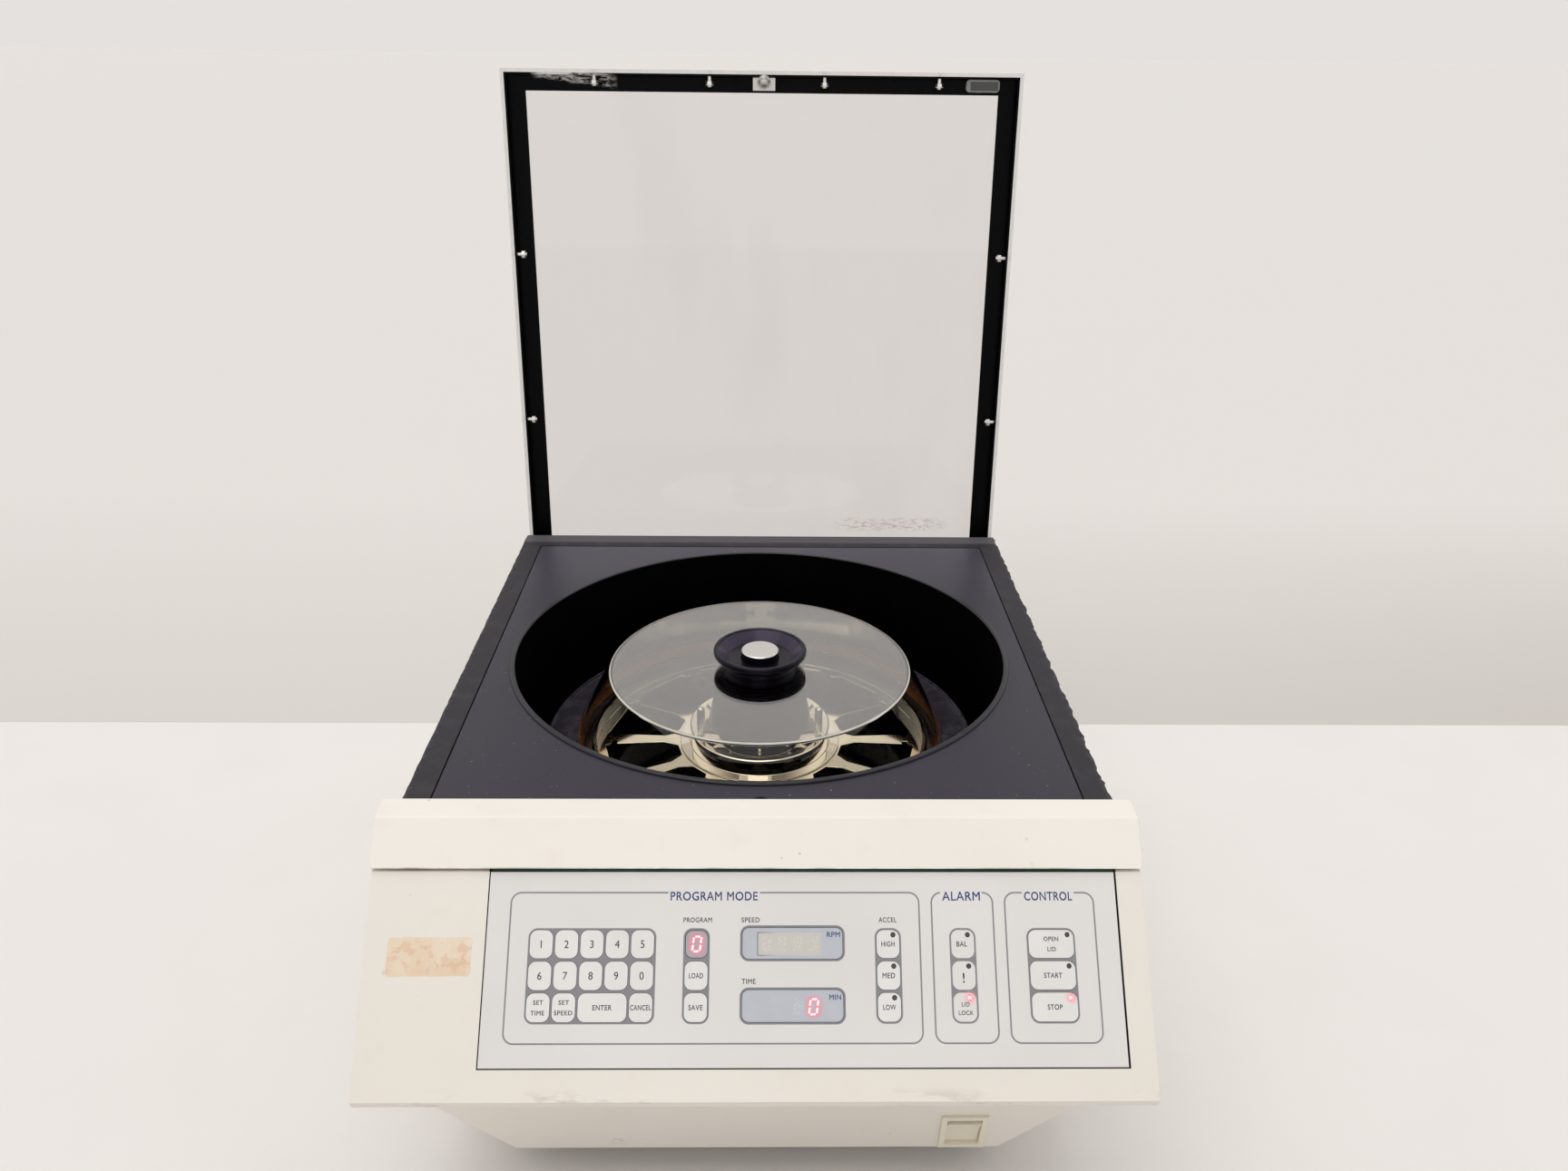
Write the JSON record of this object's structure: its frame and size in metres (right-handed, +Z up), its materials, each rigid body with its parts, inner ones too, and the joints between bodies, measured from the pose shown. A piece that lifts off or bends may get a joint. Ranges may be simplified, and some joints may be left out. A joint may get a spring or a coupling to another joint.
{
  "type": "cytocentrifuge",
  "caption": "Bench centrifuge for cell smears: open clear lid, black deck and bowl, sealed head with clear cover and knob, sloped membrane keypad and cream casing.",
  "frame": {"origin": "on the bench, at the middle of the box round the instrument with its lid open", "axes": "+Z up, +Y from the keypad to the rear, +X to the operator's right"},
  "size_m": [0.39, 0.5328, 0.5786],
  "materials": {
    "casing_cream": "fine satin moulding, slightly worn",
    "tub_cream": "satin paint",
    "deck_black": "satin black",
    "bowl_black": "satin black",
    "lid_clear": "clear sheet",
    "cover_clear": "clear moulding",
    "black_plastic": "satin",
    "knob_black": "gloss",
    "rubber": "matt",
    "gasket": "matt foam",
    "steel": "brushed",
    "polished_steel": "polished",
    "membrane": "fine matt film",
    "key_film": "matt film",
    "window_film": "smooth film",
    "lamp_red": "clear red",
    "board_green": "board",
    "core_steel": "plain"
  },
  "bodies": {
    "instrument": {"base_tub": "tub_cream", "rubber_feet": "rubber", "upper_casing": "casing_cream", "rear_panel": "deck_black", "mains_inlet": "black_plastic", "front_console": "casing_cream", "front_hood": "casing_cream", "deck_plate": "deck_black", "deck_gasket": "gasket", "bowl_liner": "bowl_black", "motor_mount_plate": "steel", "motor_housing": "core_steel", "transformer": "core_steel", "latch_solenoid": "core_steel", "membrane_overlay": "membrane", "control_board": "board_green", "display_windows": "window_film", "indicator_leds": "lamp_red", "switch_bezel": "casing_cream", "case_screws": "steel"},
    "lid": {"lid_panel": "lid_clear", "lid_frame": "black_plastic", "lid_screws": "steel", "latch_striker": "steel", "lid_magnet": "polished_steel", "hinge_arms": "black_plastic", "hinge_pins": "steel"},
    "latch": {"latch_bolt": "steel"},
    "drive": {"drive_spindle": "steel"},
    "head": {"head_base": "bowl_black", "carrier_plate": "steel", "head_hub": "polished_steel"},
    "cover": {"clear_cover": "cover_clear", "cover_knob": "knob_black", "knob_hub": "knob_black"},
    "button": {"push_button": "steel", "button_spring": "steel"},
    "rocker": {"mains_rocker": "casing_cream"},
    "key_0_pad": {"key_0": "key_film"},
    "key_1_pad": {"key_1": "key_film"},
    "key_2_pad": {"key_2": "key_film"},
    "key_3_pad": {"key_3": "key_film"},
    "key_4_pad": {"key_4": "key_film"},
    "key_5_pad": {"key_5": "key_film"},
    "key_6_pad": {"key_6": "key_film"},
    "key_7_pad": {"key_7": "key_film"},
    "key_8_pad": {"key_8": "key_film"},
    "key_9_pad": {"key_9": "key_film"},
    "key_set_time_pad": {"key_set_time": "key_film"},
    "key_set_speed_pad": {"key_set_speed": "key_film"},
    "key_enter_pad": {"key_enter": "key_film"},
    "key_cancel_pad": {"key_cancel": "key_film"},
    "key_load_pad": {"key_load": "key_film"},
    "key_save_pad": {"key_save": "key_film"},
    "key_accel_high_pad": {"key_accel_high": "key_film"},
    "key_accel_medium_pad": {"key_accel_medium": "key_film"},
    "key_accel_low_pad": {"key_accel_low": "key_film"},
    "key_open_lid_pad": {"key_open_lid": "key_film"},
    "key_start_pad": {"key_start": "key_film"},
    "key_stop_pad": {"key_stop": "key_film"}
  },
  "joints": [
    {"name": "lid_hinge", "type": "hinge", "parent": "instrument", "child": "lid", "pos_m": [0, 0.2082, 0.2115], "axis": [-1, 0, 0], "range_deg": [-94.1, 0]},
    {"name": "latch_slide", "type": "slide", "parent": "instrument", "child": "latch", "axis": [0, 1, 0], "range_m": [0, 0.009], "stiffness_N_per_m": 150, "springref_m": -0.001},
    {"name": "rotor_spin", "type": "hinge", "parent": "instrument", "child": "drive", "pos_m": [0, 0.0246, 0.1215], "axis": [0, 0, 1], "continuous": true},
    {"name": "head_lift", "type": "slide", "parent": "drive", "child": "head", "axis": [0, 0, 1], "range_m": [0, 0.12]},
    {"name": "cover_lift", "type": "slide", "parent": "head", "child": "cover", "axis": [0, 0, 1], "range_m": [0, 0.08]},
    {"name": "button_press", "type": "slide", "parent": "cover", "child": "button", "axis": [0, 0, 1], "range_m": [-0.004, 0], "stiffness_N_per_m": 800, "springref_m": 0.003, "deforming": ["button_spring"]},
    {"name": "mains_rocker_tilt", "type": "hinge", "parent": "instrument", "child": "rocker", "pos_m": [0.118, -0.18369, 0.03102], "axis": [1, 0, 0], "range_deg": [-18, 0]},
    {"name": "key_0_press", "type": "slide", "parent": "instrument", "child": "key_0_pad", "axis": [0, -0.7431, 0.6691], "range_m": [-0.0004, 0], "stiffness_N_per_m": 2000, "springref_m": 0.0001},
    {"name": "key_1_press", "type": "slide", "parent": "instrument", "child": "key_1_pad", "axis": [0, -0.7431, 0.6691], "range_m": [-0.0004, 0], "stiffness_N_per_m": 2000, "springref_m": 0.0001},
    {"name": "key_2_press", "type": "slide", "parent": "instrument", "child": "key_2_pad", "axis": [0, -0.7431, 0.6691], "range_m": [-0.0004, 0], "stiffness_N_per_m": 2000, "springref_m": 0.0001},
    {"name": "key_3_press", "type": "slide", "parent": "instrument", "child": "key_3_pad", "axis": [0, -0.7431, 0.6691], "range_m": [-0.0004, 0], "stiffness_N_per_m": 2000, "springref_m": 0.0001},
    {"name": "key_4_press", "type": "slide", "parent": "instrument", "child": "key_4_pad", "axis": [0, -0.7431, 0.6691], "range_m": [-0.0004, 0], "stiffness_N_per_m": 2000, "springref_m": 0.0001},
    {"name": "key_5_press", "type": "slide", "parent": "instrument", "child": "key_5_pad", "axis": [0, -0.7431, 0.6691], "range_m": [-0.0004, 0], "stiffness_N_per_m": 2000, "springref_m": 0.0001},
    {"name": "key_6_press", "type": "slide", "parent": "instrument", "child": "key_6_pad", "axis": [0, -0.7431, 0.6691], "range_m": [-0.0004, 0], "stiffness_N_per_m": 2000, "springref_m": 0.0001},
    {"name": "key_7_press", "type": "slide", "parent": "instrument", "child": "key_7_pad", "axis": [0, -0.7431, 0.6691], "range_m": [-0.0004, 0], "stiffness_N_per_m": 2000, "springref_m": 0.0001},
    {"name": "key_8_press", "type": "slide", "parent": "instrument", "child": "key_8_pad", "axis": [0, -0.7431, 0.6691], "range_m": [-0.0004, 0], "stiffness_N_per_m": 2000, "springref_m": 0.0001},
    {"name": "key_9_press", "type": "slide", "parent": "instrument", "child": "key_9_pad", "axis": [0, -0.7431, 0.6691], "range_m": [-0.0004, 0], "stiffness_N_per_m": 2000, "springref_m": 0.0001},
    {"name": "key_set_time_press", "type": "slide", "parent": "instrument", "child": "key_set_time_pad", "axis": [0, -0.7431, 0.6691], "range_m": [-0.0004, 0], "stiffness_N_per_m": 2000, "springref_m": 0.0001},
    {"name": "key_set_speed_press", "type": "slide", "parent": "instrument", "child": "key_set_speed_pad", "axis": [0, -0.7431, 0.6691], "range_m": [-0.0004, 0], "stiffness_N_per_m": 2000, "springref_m": 0.0001},
    {"name": "key_enter_press", "type": "slide", "parent": "instrument", "child": "key_enter_pad", "axis": [0, -0.7431, 0.6691], "range_m": [-0.0004, 0], "stiffness_N_per_m": 2000, "springref_m": 0.0001},
    {"name": "key_cancel_press", "type": "slide", "parent": "instrument", "child": "key_cancel_pad", "axis": [0, -0.7431, 0.6691], "range_m": [-0.0004, 0], "stiffness_N_per_m": 2000, "springref_m": 0.0001},
    {"name": "key_load_press", "type": "slide", "parent": "instrument", "child": "key_load_pad", "axis": [0, -0.7431, 0.6691], "range_m": [-0.0004, 0], "stiffness_N_per_m": 2000, "springref_m": 0.0001},
    {"name": "key_save_press", "type": "slide", "parent": "instrument", "child": "key_save_pad", "axis": [0, -0.7431, 0.6691], "range_m": [-0.0004, 0], "stiffness_N_per_m": 2000, "springref_m": 0.0001},
    {"name": "key_accel_high_press", "type": "slide", "parent": "instrument", "child": "key_accel_high_pad", "axis": [0, -0.7431, 0.6691], "range_m": [-0.0004, 0], "stiffness_N_per_m": 2000, "springref_m": 0.0001},
    {"name": "key_accel_medium_press", "type": "slide", "parent": "instrument", "child": "key_accel_medium_pad", "axis": [0, -0.7431, 0.6691], "range_m": [-0.0004, 0], "stiffness_N_per_m": 2000, "springref_m": 0.0001},
    {"name": "key_accel_low_press", "type": "slide", "parent": "instrument", "child": "key_accel_low_pad", "axis": [0, -0.7431, 0.6691], "range_m": [-0.0004, 0], "stiffness_N_per_m": 2000, "springref_m": 0.0001},
    {"name": "key_open_lid_press", "type": "slide", "parent": "instrument", "child": "key_open_lid_pad", "axis": [0, -0.7431, 0.6691], "range_m": [-0.0004, 0], "stiffness_N_per_m": 2000, "springref_m": 0.0001},
    {"name": "key_start_press", "type": "slide", "parent": "instrument", "child": "key_start_pad", "axis": [0, -0.7431, 0.6691], "range_m": [-0.0004, 0], "stiffness_N_per_m": 2000, "springref_m": 0.0001},
    {"name": "key_stop_press", "type": "slide", "parent": "instrument", "child": "key_stop_pad", "axis": [0, -0.7431, 0.6691], "range_m": [-0.0004, 0], "stiffness_N_per_m": 2000, "springref_m": 0.0001}
  ]
}
